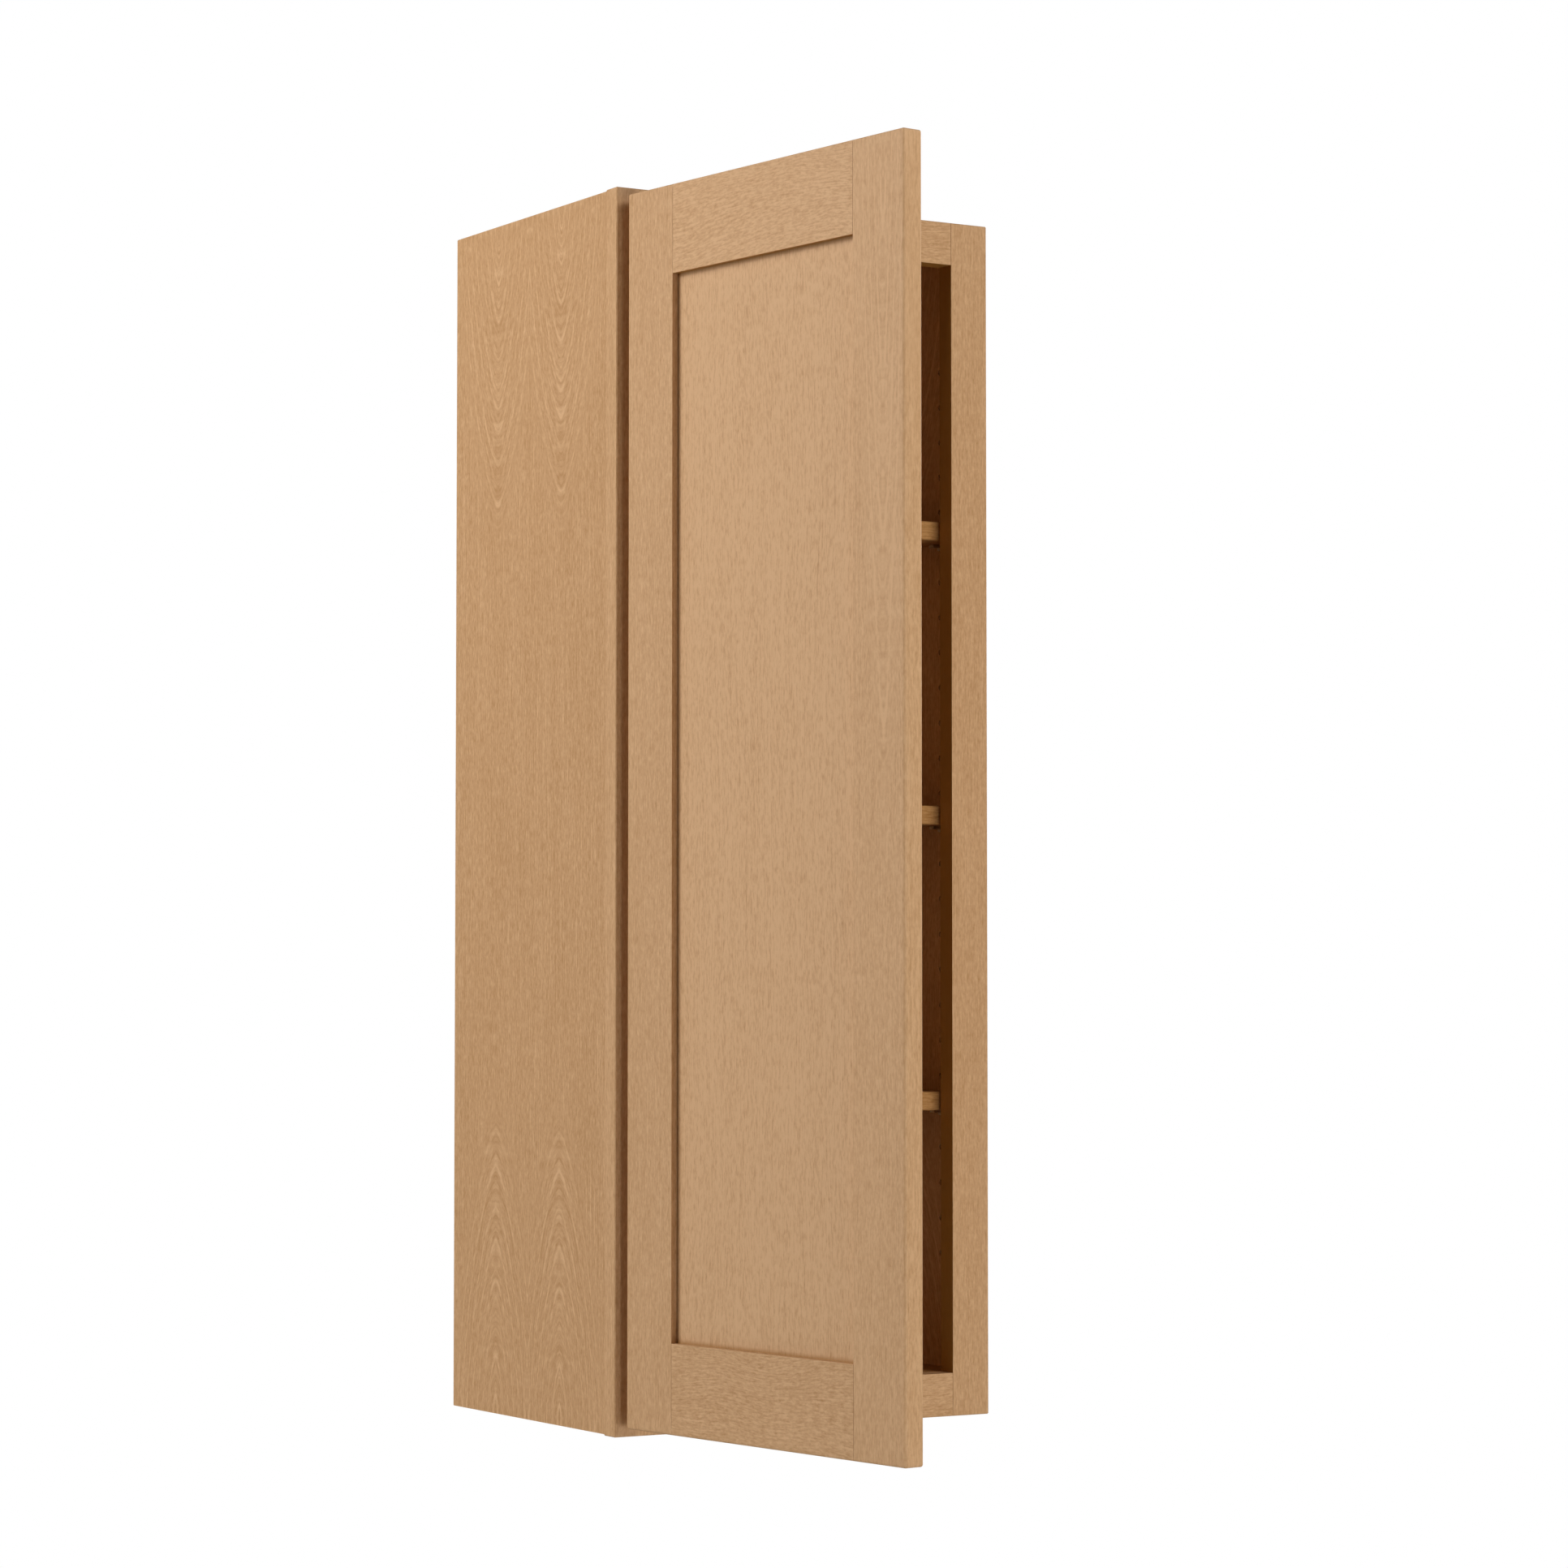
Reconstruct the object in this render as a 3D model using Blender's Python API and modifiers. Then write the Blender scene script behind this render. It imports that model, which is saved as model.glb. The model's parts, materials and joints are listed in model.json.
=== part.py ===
"""Hanging wall cabinet: a face-frame carcass, three shelves and one framed door.

Metres, +Z up. The wall is the plane Y = 0 and the door faces -Y; +X is to the right of someone
who faces the door. The origin is the middle of the upper hanging rail's back face.
The door is modelled shut and then swung open on its hinges, which are two-pivot linkages: the
link turns on the arm that is fixed to the frame, and the door's cup turns on the link.
"""
import math

import bmesh
import bpy
from mathutils import Matrix, Vector

# ---- Driving sizes, in metres ----
CABINET_WIDTH = 0.381
CABINET_HEIGHT = 1.0668
CABINET_DEPTH = 0.3048

FRAME_MEMBER = 0.0381
FRAME_THICKNESS = 0.01905
SIDE_THICKNESS = 0.0127
END_PANEL_THICKNESS = 0.0127
BACK_THICKNESS = 0.006
FRAME_PROUD = 0.001
HOUSING_DEPTH = 0.005
HANG_RAIL_HEIGHT = 0.0762
HANG_RAIL_THICKNESS = 0.0159

SHELF_THICKNESS = 0.0165
SHELF_COUNT = 3
SHELF_END_PLAY = 0.0015
SHELF_FRONT_SETBACK = 0.003
SHELF_BACK_PLAY = 0.002
HOLE_PITCH = 0.032
HOLE_RADIUS = 0.0027
HOLE_DEPTH = 0.009
LOWEST_HOLE = 0.102
HOLE_INSET = 0.037
HOLE_SIDES = 8
COLLAR_RADIUS = 0.0036
COLLAR_THICKNESS = 0.0009
TAB_REACH = 0.0095
TAB_HALF_WIDTH = 0.0035
TAB_THICKNESS = 0.003
SHELF_ABOVE_HOLE = 0.0023

DOOR_THICKNESS = 0.01905
DOOR_SIDE_OVERLAY = 0.03175
DOOR_END_OVERLAY = 0.0302
DOOR_GAP = 0.002
DOOR_STILE = 0.0635
DOOR_RAIL = 0.0762
DOOR_EDGE_ROUND = 0.002
PANEL_THICKNESS = 0.006
PANEL_RECESS = 0.006
PANEL_GROOVE = 0.0095
TENON_SHOULDER = 0.012
DOOR_OPEN_ANGLE = 83.0

HINGE_COUNT = 3
HINGE_INSET = 0.102
ARM_PIVOT_PAST_STILE = 0.0026
ARM_PIVOT_AHEAD = 0.00325
CUP_PIVOT_REACH = 0.0249
CUP_PIVOT_DROP = 0.0045
CUP_CENTRE_REACH = 0.0124
CUP_RADIUS = 0.0175
CUP_WALL = 0.001
CUP_DEPTH = 0.0121
CUP_SCREW_OUTSET = 0.005
FLANGE_THICKNESS = 0.001
FLANGE_MARGIN = 0.0014
WING_MARGIN = 0.0046
CUP_SCREW_HEAD_RADIUS = 0.0027
LINK_TURN_SHARE = 0.30
LINK_BEND_ANGLE = -25.5
LINK_BEND_LENGTH = 0.0105
LINK_HALF_WIDTH = 0.004
LINK_HALF_THICKNESS = 0.0009
LINK_EYE_RADIUS = 0.0023
EAR_THICKNESS = 0.0013
EAR_RADIUS = 0.0026
PIVOT_RADIUS = 0.0012
PIVOT_HOLE_RADIUS = 0.0015
PIVOT_HEAD_RADIUS = 0.002
PIVOT_HEAD = 0.0006
ARM_THICKNESS = 0.002
ARM_HALF_HEIGHT = 0.0145

SCREW_RADIUS = 0.0016
SCREW_HOLE_RADIUS = 0.002
SCREW_LENGTH = 0.010
SCREW_HEAD_RADIUS = 0.0034
SCREW_HEAD = 0.0018

BUMPER_RADIUS = 0.0045
BUMPER_INSET = 0.022

FIT_GAP = 0.0003
EASED_EDGE = 0.0008
EASED_SEGMENTS = 1
ROUND_SEGMENTS = 3

# ---- Places that follow from the driving sizes ----
HALF_WIDTH = CABINET_WIDTH / 2
FRAME_FRONT = -CABINET_DEPTH
FRAME_BACK = FRAME_FRONT + FRAME_THICKNESS
FRAME_TOP = HANG_RAIL_HEIGHT / 2 + FIT_GAP + END_PANEL_THICKNESS + FRAME_PROUD
FRAME_BOTTOM = FRAME_TOP - CABINET_HEIGHT
OPENING_HALF = HALF_WIDTH - FRAME_MEMBER
OPENING_TOP = FRAME_TOP - FRAME_MEMBER
OPENING_BOTTOM = FRAME_BOTTOM + FRAME_MEMBER

CARCASS_FRONT = FRAME_BACK + FIT_GAP
SIDE_OUTER = HALF_WIDTH - FRAME_PROUD
SIDE_INNER = SIDE_OUTER - SIDE_THICKNESS
HOUSED_EDGE = SIDE_INNER + HOUSING_DEPTH - FIT_GAP
SIDE_TOP = FRAME_TOP - FRAME_PROUD
SIDE_BOTTOM = FRAME_BOTTOM + FRAME_PROUD
CEILING = SIDE_TOP - END_PANEL_THICKNESS
FLOOR = OPENING_BOTTOM
BACK_FRONT = -HANG_RAIL_THICKNESS - FIT_GAP - BACK_THICKNESS
PEG_RADIUS = HOLE_RADIUS * math.cos(math.pi / HOLE_SIDES) - FIT_GAP
PEG_LENGTH = HOLE_DEPTH - FIT_GAP

DOOR_HALF = OPENING_HALF + DOOR_SIDE_OVERLAY
DOOR_TOP = OPENING_TOP + DOOR_END_OVERLAY
DOOR_BOTTOM = OPENING_BOTTOM - DOOR_END_OVERLAY
DOOR_BACK = FRAME_FRONT - DOOR_GAP
DOOR_FRONT = DOOR_BACK - DOOR_THICKNESS
PANEL_FRONT = DOOR_FRONT + PANEL_RECESS
PANEL_BACK = PANEL_FRONT + PANEL_THICKNESS

ARM_PIVOT = Vector((-OPENING_HALF + ARM_PIVOT_PAST_STILE, FRAME_FRONT - ARM_PIVOT_AHEAD, 0))
CUP_PIVOT = ARM_PIVOT - Vector((CUP_PIVOT_REACH, CUP_PIVOT_DROP, 0))
CUP_CENTRE_X = ARM_PIVOT.x - CUP_CENTRE_REACH
CUP_BORE_RADIUS = CUP_RADIUS + FIT_GAP
CUP_SCREW_OFFSET = CUP_RADIUS + CUP_SCREW_OUTSET
EAR_INNER = LINK_HALF_WIDTH + FIT_GAP
EAR_OUTER = EAR_INNER + EAR_THICKNESS


# ---- Materials ----
def make_material(name, colour, roughness, metallic=0.0):
    material = bpy.data.materials.new(name)
    material.use_nodes = True
    shader = material.node_tree.nodes["Principled BSDF"]
    shader.inputs["Base Color"].default_value = (*colour, 1.0)
    shader.inputs["Roughness"].default_value = roughness
    shader.inputs["Metallic"].default_value = metallic
    return material


# ---- Solids ----
def add_block(mesh, low, high):
    """Adds a box between two corners to a bmesh."""
    low, high = Vector(low), Vector(high)
    size = Matrix.Diagonal((*(high - low), 1.0))
    place = Matrix.Translation((low + high) / 2)
    return bmesh.ops.create_cube(mesh, size=1.0, matrix=place @ size)["verts"]


def add_cylinder(mesh, centre, axis, radius, length, segments=12):
    """Adds a cylinder centred on a point, along the X, Y or Z axis, to a bmesh."""
    turns = {"X": Matrix.Rotation(math.pi / 2, 4, "Y"),
             "Y": Matrix.Rotation(math.pi / 2, 4, "X"),
             "Z": Matrix.Identity(4)}
    bmesh.ops.create_cone(mesh, cap_ends=True, segments=segments, radius1=radius, radius2=radius,
                          depth=length, matrix=Matrix.Translation(centre) @ turns[axis])


def put_in_scene(name, data, collection, material=None, location=(0, 0, 0)):
    piece = bpy.data.objects.new(name, data)
    piece.location = location
    collection.objects.link(piece)
    if material:
        data.materials.append(material)
    return piece


def mesh_piece(name, mesh, collection, material=None, location=(0, 0, 0)):
    """Turns a bmesh into a named object and frees it."""
    data = bpy.data.meshes.new(name)
    mesh.to_mesh(data)
    mesh.free()
    return put_in_scene(name, data, collection, material, location)


def block(name, low, high, material, sharp="", ease=EASED_EDGE, segments=EASED_SEGMENTS):
    """A box with eased edges; faces in sharp, such as "-x", keep square edges all round."""
    low, high = Vector(low), Vector(high)
    centre = (low + high) / 2
    mesh = bmesh.new()
    add_block(mesh, low - centre, high - centre)
    mesh.normal_update()
    normals = {"x": Vector((1, 0, 0)), "y": Vector((0, 1, 0)), "z": Vector((0, 0, 1))}
    square = [normals[face[1]] * (1 if face[0] == "+" else -1) for face in sharp.split()]

    def is_eased(edge):
        return all(face.normal.dot(normal) < 0.5 for face in edge.link_faces for normal in square)

    edges = [edge for edge in mesh.edges if is_eased(edge)]
    bmesh.ops.bevel(mesh, geom=edges, offset=ease, offset_type="OFFSET", segments=segments,
                    profile=0.5, affect="EDGES", clamp_overlap=True)
    return mesh_piece(name, mesh, PARTS, material, centre)


def turned(name, profile, steps, material, location, axis="Z"):
    """A round piece from a profile of (radius, height) points, top to bottom down its outside."""
    data = bpy.data.meshes.new(name)
    edges = [(index, index + 1) for index in range(len(profile) - 1)]
    data.from_pydata([(radius, 0, height) for radius, height in profile], edges, [])
    piece = put_in_scene(name, data, PARTS, material, location)
    piece.rotation_euler = {"X": (0, math.pi / 2, 0), "Y": (-math.pi / 2, 0, 0), "Z": (0, 0, 0)}[axis]
    screw = piece.modifiers.new("turn", "SCREW")
    screw.steps = steps
    screw.render_steps = steps
    screw.use_merge_vertices = True
    screw.merge_threshold = 0.00001
    return piece


def sheet_outline(name, points, low, high):
    """A flat outline in the XY plane, filled and given its thickness between two heights."""
    curve = bpy.data.curves.new(name, "CURVE")
    curve.dimensions = "2D"
    curve.fill_mode = "BOTH"
    curve.extrude = (high - low) / 2
    spline = curve.splines.new("POLY")
    spline.points.add(len(points) - 1)
    for point, (x, y) in zip(spline.points, points):
        point.co = (x, y, 0, 1)
    spline.use_cyclic_u = True
    outline = put_in_scene(name, curve, CUTTERS, location=(0, 0, (low + high) / 2))
    bpy.context.view_layer.update()
    depsgraph = bpy.context.evaluated_depsgraph_get()
    data = bpy.data.meshes.new_from_object(outline.evaluated_get(depsgraph))
    data.transform(outline.matrix_world)
    bpy.data.objects.remove(outline)
    mesh = bmesh.new()
    mesh.from_mesh(data)
    bpy.data.meshes.remove(data)
    bmesh.ops.remove_doubles(mesh, verts=mesh.verts, dist=0.000001)
    return mesh


def boolean(piece, tool, operation="DIFFERENCE"):
    """Cuts or joins a piece with a hidden tool."""
    tool.hide_render = True
    tool.display_type = "WIRE"
    modifier = piece.modifiers.new(tool.name, "BOOLEAN")
    modifier.operation = operation
    modifier.solver = "EXACT"
    modifier.object = tool
    return tool


def cut_blocks(piece, name, boxes):
    mesh = bmesh.new()
    for low, high in boxes:
        add_block(mesh, low, high)
    return boolean(piece, mesh_piece(name, mesh, CUTTERS))


def bore(piece, name, centres, axis, radius, length, segments=12):
    mesh = bmesh.new()
    for centre in centres:
        add_cylinder(mesh, centre, axis, radius, length, segments)
    return boolean(piece, mesh_piece(name, mesh, CUTTERS))


def hang_on(pivot, pieces):
    """Parents pieces to a pivot, keeping them where they are."""
    bpy.context.view_layer.update()
    for piece in pieces:
        piece.parent = pivot
        piece.matrix_parent_inverse = pivot.matrix_world.inverted()


def pivot_empty(name, location):
    empty = bpy.data.objects.new(name, None)
    empty.empty_display_size = 0.02
    empty.location = location
    PARTS.objects.link(empty)
    return empty


# ---- Carcass ----
def hole_heights():
    """Heights of one column of shelf holes."""
    room = CEILING - FLOOR - 2 * LOWEST_HOLE
    count = int(room / HOLE_PITCH) + 1
    return [FLOOR + LOWEST_HOLE + index * HOLE_PITCH for index in range(count)]


def shelf_rows():
    """The hole heights that the shelves stand on, evenly shared out."""
    heights = hole_heights()
    step = len(heights) // SHELF_COUNT
    first = (len(heights) - 1 - (SHELF_COUNT - 1) * step) // 2
    return [heights[first + step * index] for index in range(SHELF_COUNT)]


def hole_columns():
    return (CARCASS_FRONT + HOLE_INSET, BACK_FRONT - HOLE_INSET)


def make_sides(wood):
    for name, sign in (("side_left", -1), ("side_right", 1)):
        inner, outer = sorted((sign * SIDE_INNER, sign * SIDE_OUTER))
        side = block(name, (inner, CARCASS_FRONT, SIDE_BOTTOM), (outer, 0, SIDE_TOP), wood,
                     sharp="+x -x -y")
        housing = sorted((sign * (SIDE_INNER - HOUSING_DEPTH), sign * (SIDE_INNER + HOUSING_DEPTH)))
        past = HOUSING_DEPTH
        cut_blocks(side, name + "_housings", [
            ((housing[0], CARCASS_FRONT - past, CEILING - FIT_GAP), (housing[1], past, SIDE_TOP + past)),
            ((housing[0], CARCASS_FRONT - past, FLOOR - END_PANEL_THICKNESS - FIT_GAP),
             (housing[1], past, FLOOR + FIT_GAP))])
        cut_blocks(side, name + "_back_groove", [
            ((housing[0], BACK_FRONT - FIT_GAP, FLOOR - END_PANEL_THICKNESS / 2),
             (housing[1], BACK_FRONT + BACK_THICKNESS + FIT_GAP / 2, CEILING + END_PANEL_THICKNESS / 2))])
        centres = [(sign * SIDE_INNER, y, z) for y in hole_columns() for z in hole_heights()]
        bore(side, name + "_shelf_holes", centres, "X", HOLE_RADIUS, 2 * HOLE_DEPTH, HOLE_SIDES)


def make_carcass_panels(wood):
    block("top_panel", (-HOUSED_EDGE, CARCASS_FRONT, CEILING), (HOUSED_EDGE, 0, SIDE_TOP), wood,
          sharp="+x -x -y")
    block("bottom_panel", (-HOUSED_EDGE, CARCASS_FRONT, FLOOR - END_PANEL_THICKNESS),
          (HOUSED_EDGE, 0, FLOOR), wood, sharp="+x -x -y")
    block("back_panel", (-HOUSED_EDGE, BACK_FRONT, FLOOR + FIT_GAP),
          (HOUSED_EDGE, BACK_FRONT + BACK_THICKNESS, CEILING - FIT_GAP), wood, ease=EASED_EDGE / 4)


def make_hanging_rails(wood):
    rail_half = SIDE_INNER - FIT_GAP
    upper = CEILING - FIT_GAP
    lower = FLOOR + FIT_GAP + HANG_RAIL_HEIGHT
    for name, top in (("hanging_rail_top", upper), ("hanging_rail_bottom", lower)):
        block(name, (-rail_half, -HANG_RAIL_THICKNESS, top - HANG_RAIL_HEIGHT), (rail_half, 0, top), wood,
              sharp="+x -x")


def make_face_frame(wood):
    left = block("frame_stile_left", (-HALF_WIDTH, FRAME_FRONT, FRAME_BOTTOM),
                 (-OPENING_HALF, FRAME_BACK, FRAME_TOP), wood, sharp="+x")
    screws = [(-OPENING_HALF, FRAME_FRONT + FRAME_THICKNESS / 2, z) for z in hinge_heights()]
    bore(left, "arm_screw_pilots", screws, "X", SCREW_HOLE_RADIUS, 2 * SCREW_LENGTH + 4 * FIT_GAP)
    block("frame_stile_right", (OPENING_HALF, FRAME_FRONT, FRAME_BOTTOM),
          (HALF_WIDTH, FRAME_BACK, FRAME_TOP), wood, sharp="-x")
    rail_half = OPENING_HALF - FIT_GAP
    block("frame_rail_top", (-rail_half, FRAME_FRONT, OPENING_TOP), (rail_half, FRAME_BACK, FRAME_TOP),
          wood, sharp="+x -x -z")
    block("frame_rail_bottom", (-rail_half, FRAME_FRONT, FRAME_BOTTOM),
          (rail_half, FRAME_BACK, OPENING_BOTTOM), wood, sharp="+x -x +z")


# ---- Shelves and what holds them ----
def make_shelf_support(name, sign, y, z, steel):
    """A peg with a collar and a flat tab that the shelf lies on."""
    face = sign * SIDE_INNER
    mesh = bmesh.new()
    add_cylinder(mesh, (face + sign * (PEG_LENGTH - COLLAR_THICKNESS) / 2, y, z), "X", PEG_RADIUS,
                 PEG_LENGTH + COLLAR_THICKNESS, HOLE_SIDES)
    support = mesh_piece(name, mesh, PARTS, steel)
    collar = bmesh.new()
    add_cylinder(collar, (face - sign * (FIT_GAP + COLLAR_THICKNESS / 2), y, z), "X", COLLAR_RADIUS,
                 COLLAR_THICKNESS, 12)
    boolean(support, mesh_piece(name + "_collar", collar, CUTTERS), "UNION")
    tab = bmesh.new()
    near = face - sign * (FIT_GAP + COLLAR_THICKNESS / 2)
    far = face - sign * TAB_REACH
    top = z + SHELF_ABOVE_HOLE - FIT_GAP
    add_block(tab, (min(near, far), y - TAB_HALF_WIDTH, top - TAB_THICKNESS),
              (max(near, far), y + TAB_HALF_WIDTH, top))
    boolean(support, mesh_piece(name + "_tab", tab, CUTTERS), "UNION")


def make_shelves(wood, steel):
    half = SIDE_INNER - SHELF_END_PLAY
    corners = [(side, sign, place, y) for side, sign in (("left", -1), ("right", 1))
               for place, y in zip(("front", "back"), hole_columns())]
    for number, row in enumerate(reversed(shelf_rows()), start=1):
        underside = row + SHELF_ABOVE_HOLE
        block(f"shelf_{number}", (-half, CARCASS_FRONT + SHELF_FRONT_SETBACK, underside),
              (half, BACK_FRONT - SHELF_BACK_PLAY, underside + SHELF_THICKNESS), wood)
        for side, sign, place, y in corners:
            make_shelf_support(f"support_{number}_{side}_{place}", sign, y, row, steel)


# ---- Door ----
def make_door(wood, clear_rubber):
    inner = DOOR_HALF - DOOR_STILE
    groove_low, groove_high = PANEL_FRONT - FIT_GAP, PANEL_BACK + FIT_GAP
    groove = PANEL_GROOVE + FIT_GAP
    pieces = []
    for name, sign, inside in (("door_stile_hinge", -1, "+x"), ("door_stile_free", 1, "-x")):
        left, right = sorted((sign * inner, sign * DOOR_HALF))
        stile = block(name, (left, DOOR_FRONT, DOOR_BOTTOM), (right, DOOR_BACK, DOOR_TOP), wood,
                      sharp=inside, ease=DOOR_EDGE_ROUND, segments=ROUND_SEGMENTS)
        left, right = sorted((sign * (inner - groove), sign * (inner + groove)))
        tool = cut_blocks(stile, name + "_groove", [((left, groove_low, DOOR_BOTTOM + TENON_SHOULDER),
                                                     (right, groove_high, DOOR_TOP - TENON_SHOULDER))])
        pieces += [stile, tool]
    pieces += bore_for_hinges(pieces[0])

    body_half = inner - FIT_GAP
    tenon_half = inner + PANEL_GROOVE
    for name, end, sign, inside in (("door_rail_top", DOOR_TOP, 1, "-z"),
                                    ("door_rail_bottom", DOOR_BOTTOM, -1, "+z")):
        edge = end - sign * DOOR_RAIL
        rail = block(name, (-body_half, DOOR_FRONT, min(end, edge)), (body_half, DOOR_BACK, max(end, edge)),
                     wood, sharp="+x -x " + inside, ease=DOOR_EDGE_ROUND, segments=ROUND_SEGMENTS)
        tenon = bmesh.new()
        heights = sorted((end - sign * (TENON_SHOULDER + FIT_GAP), edge + sign * FIT_GAP))
        add_block(tenon, (-tenon_half, PANEL_FRONT, heights[0]), (tenon_half, PANEL_BACK, heights[1]))
        joined = boolean(rail, mesh_piece(name + "_tenons", tenon, CUTTERS), "UNION")
        low, high = sorted((edge - sign * groove, edge + sign * groove))
        tool = cut_blocks(rail, name + "_groove", [((-tenon_half - groove, groove_low, low),
                                                    (tenon_half + groove, groove_high, high))])
        pieces += [rail, joined, tool]

    panel_half = tenon_half
    panel_top = DOOR_TOP - DOOR_RAIL + PANEL_GROOVE
    panel_bottom = DOOR_BOTTOM + DOOR_RAIL - PANEL_GROOVE
    pieces.append(block("door_panel", (-panel_half, PANEL_FRONT, panel_bottom),
                        (panel_half, PANEL_BACK, panel_top), wood, ease=EASED_EDGE / 4))

    thickness = DOOR_GAP - 2 * FIT_GAP
    shape = [(0, thickness), (BUMPER_RADIUS * 0.75, thickness), (BUMPER_RADIUS, thickness / 2),
             (BUMPER_RADIUS, 0), (0, 0)]
    for name, z in (("bumper_top", DOOR_TOP - BUMPER_INSET), ("bumper_bottom", DOOR_BOTTOM + BUMPER_INSET)):
        place = (DOOR_HALF - BUMPER_INSET / 2, DOOR_BACK + FIT_GAP, z)
        pieces.append(turned(name, shape, 16, clear_rubber, place, "Y"))
    return pieces


# ---- Hinges ----
def hinge_heights():
    top, bottom = DOOR_TOP - HINGE_INSET, DOOR_BOTTOM + HINGE_INSET
    step = (top - bottom) / (HINGE_COUNT - 1)
    return [top - index * step for index in range(HINGE_COUNT)]


def cup_screw_heights():
    return [z + offset for z in hinge_heights() for offset in (CUP_SCREW_OFFSET, -CUP_SCREW_OFFSET)]


def bore_for_hinges(stile):
    """Blind bores for the cups and pilot holes for their screws."""
    depth = CUP_DEPTH + CUP_WALL + FIT_GAP
    cups = [(CUP_CENTRE_X, DOOR_BACK, z) for z in hinge_heights()]
    screws = [(CUP_CENTRE_X, DOOR_BACK, z) for z in cup_screw_heights()]
    return [bore(stile, "cup_bores", cups, "Y", CUP_BORE_RADIUS, 2 * depth, 32),
            bore(stile, "cup_screw_pilots", screws, "Y", SCREW_HOLE_RADIUS, 2 * SCREW_LENGTH)]


def arc(centre, radius, start, end, steps):
    """Points on an arc, angles in degrees."""
    angles = [math.radians(start + (end - start) * index / steps) for index in range(steps + 1)]
    return [(centre.x + radius * math.cos(a), centre.y + radius * math.sin(a)) for a in angles]


def make_cup(name, z, steel):
    rim = FLANGE_THICKNESS
    inside = CUP_RADIUS - CUP_WALL
    shape = [(0, -CUP_DEPTH), (inside, -CUP_DEPTH), (inside, rim), (CUP_RADIUS + FLANGE_MARGIN, rim),
             (CUP_RADIUS + FLANGE_MARGIN, 0), (CUP_RADIUS, 0), (CUP_RADIUS, -CUP_DEPTH - CUP_WALL),
             (0, -CUP_DEPTH - CUP_WALL)]
    back = DOOR_BACK + FIT_GAP
    cup = turned(name, shape, 32, steel, (CUP_CENTRE_X, back, z), "Y")
    wings = bmesh.new()
    skin = FLANGE_THICKNESS / 10
    for sign in (1, -1):
        near = z + sign * (CUP_RADIUS + FLANGE_MARGIN / 4)
        far = z + sign * (CUP_SCREW_OFFSET + WING_MARGIN)
        add_block(wings, (CUP_CENTRE_X - WING_MARGIN, back + skin, min(near, far)),
                  (CUP_CENTRE_X + WING_MARGIN, back + rim - skin, max(near, far)))
    joined = boolean(cup, mesh_piece(name + "_wings", wings, CUTTERS), "UNION")
    centres = [(CUP_CENTRE_X, back, z + sign * CUP_SCREW_OFFSET) for sign in (1, -1)]
    holes = bore(cup, name + "_screw_holes", centres, "Y", CUP_SCREW_HEAD_RADIUS + FIT_GAP, 4 * rim, 16)
    pin_hole = bore(cup, name + "_pin_hole", [(CUP_PIVOT.x, CUP_PIVOT.y, z)], "Z", PIVOT_HOLE_RADIUS,
                    2 * CUP_RADIUS)
    return [cup, joined, holes, pin_hole]


def link_path():
    """The link's bent centre line, from the cup's pivot to the arm's."""
    angle = math.radians(LINK_BEND_ANGLE)
    bend = CUP_PIVOT + LINK_BEND_LENGTH * Vector((math.cos(angle), math.sin(angle), 0))
    return CUP_PIVOT, bend, ARM_PIVOT


def make_link(name, z, steel):
    start, bend, end = link_path()
    eye = math.degrees(math.asin(LINK_HALF_THICKNESS / LINK_EYE_RADIUS))
    out_angle = math.degrees(math.atan2(bend.y - start.y, bend.x - start.x))
    in_angle = math.degrees(math.atan2(end.y - bend.y, end.x - bend.x))
    middle = math.radians((out_angle + in_angle) / 2 + 90)
    reach = LINK_HALF_THICKNESS / math.cos(math.radians((in_angle - out_angle) / 2))
    corner = Vector((math.cos(middle), math.sin(middle), 0)) * reach
    points = arc(start, LINK_EYE_RADIUS, out_angle + eye, out_angle + 360 - eye, 12)
    points.append(tuple((bend - corner).xy))
    points += arc(end, LINK_EYE_RADIUS, in_angle - 180 + eye, in_angle + 180 - eye, 12)
    points.append(tuple((bend + corner).xy))
    link = mesh_piece(name, sheet_outline(name, points, z - LINK_HALF_WIDTH, z + LINK_HALF_WIDTH),
                      PARTS, steel)
    centres = [(place.x, place.y, z) for place in (start, end)]
    return [link, bore(link, name + "_holes", centres, "Z", PIVOT_HOLE_RADIUS, 4 * LINK_HALF_WIDTH)]


def make_arm(name, z, steel):
    """A plate on the stile's inner edge, with two ears that hold the link's fixed pivot."""
    near = -OPENING_HALF + FIT_GAP
    far = near + ARM_THICKNESS
    arm = block(name, (near, FRAME_FRONT + FIT_GAP, z - ARM_HALF_HEIGHT),
                (far, FRAME_BACK, z + ARM_HALF_HEIGHT), steel, ease=ARM_THICKNESS / 5)
    inside_near, inside_far = near + ARM_THICKNESS / 3, far - ARM_THICKNESS / 5
    root = FRAME_FRONT + ARM_HALF_HEIGHT / 2
    points = [(inside_near, root), (inside_near, FRAME_FRONT + 3 * FIT_GAP)]
    points += arc(ARM_PIVOT, EAR_RADIUS, 165, 390, 12)
    points.append((inside_far, root))
    tools = []
    for sign, label in ((1, "_upper_ear"), (-1, "_lower_ear")):
        low, high = sorted((z + sign * EAR_INNER, z + sign * EAR_OUTER))
        ear = mesh_piece(name + label, sheet_outline(name + label, points, low, high), CUTTERS)
        tools.append(boolean(arm, ear, "UNION"))
    bore(arm, name + "_pin_hole", [(ARM_PIVOT.x, ARM_PIVOT.y, z)], "Z", PIVOT_HOLE_RADIUS, 4 * EAR_OUTER)
    middle = (near, FRAME_FRONT + FRAME_THICKNESS / 2, z)
    bore(arm, name + "_screw_hole", [middle], "X", SCREW_HOLE_RADIUS, 4 * ARM_THICKNESS)


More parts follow.
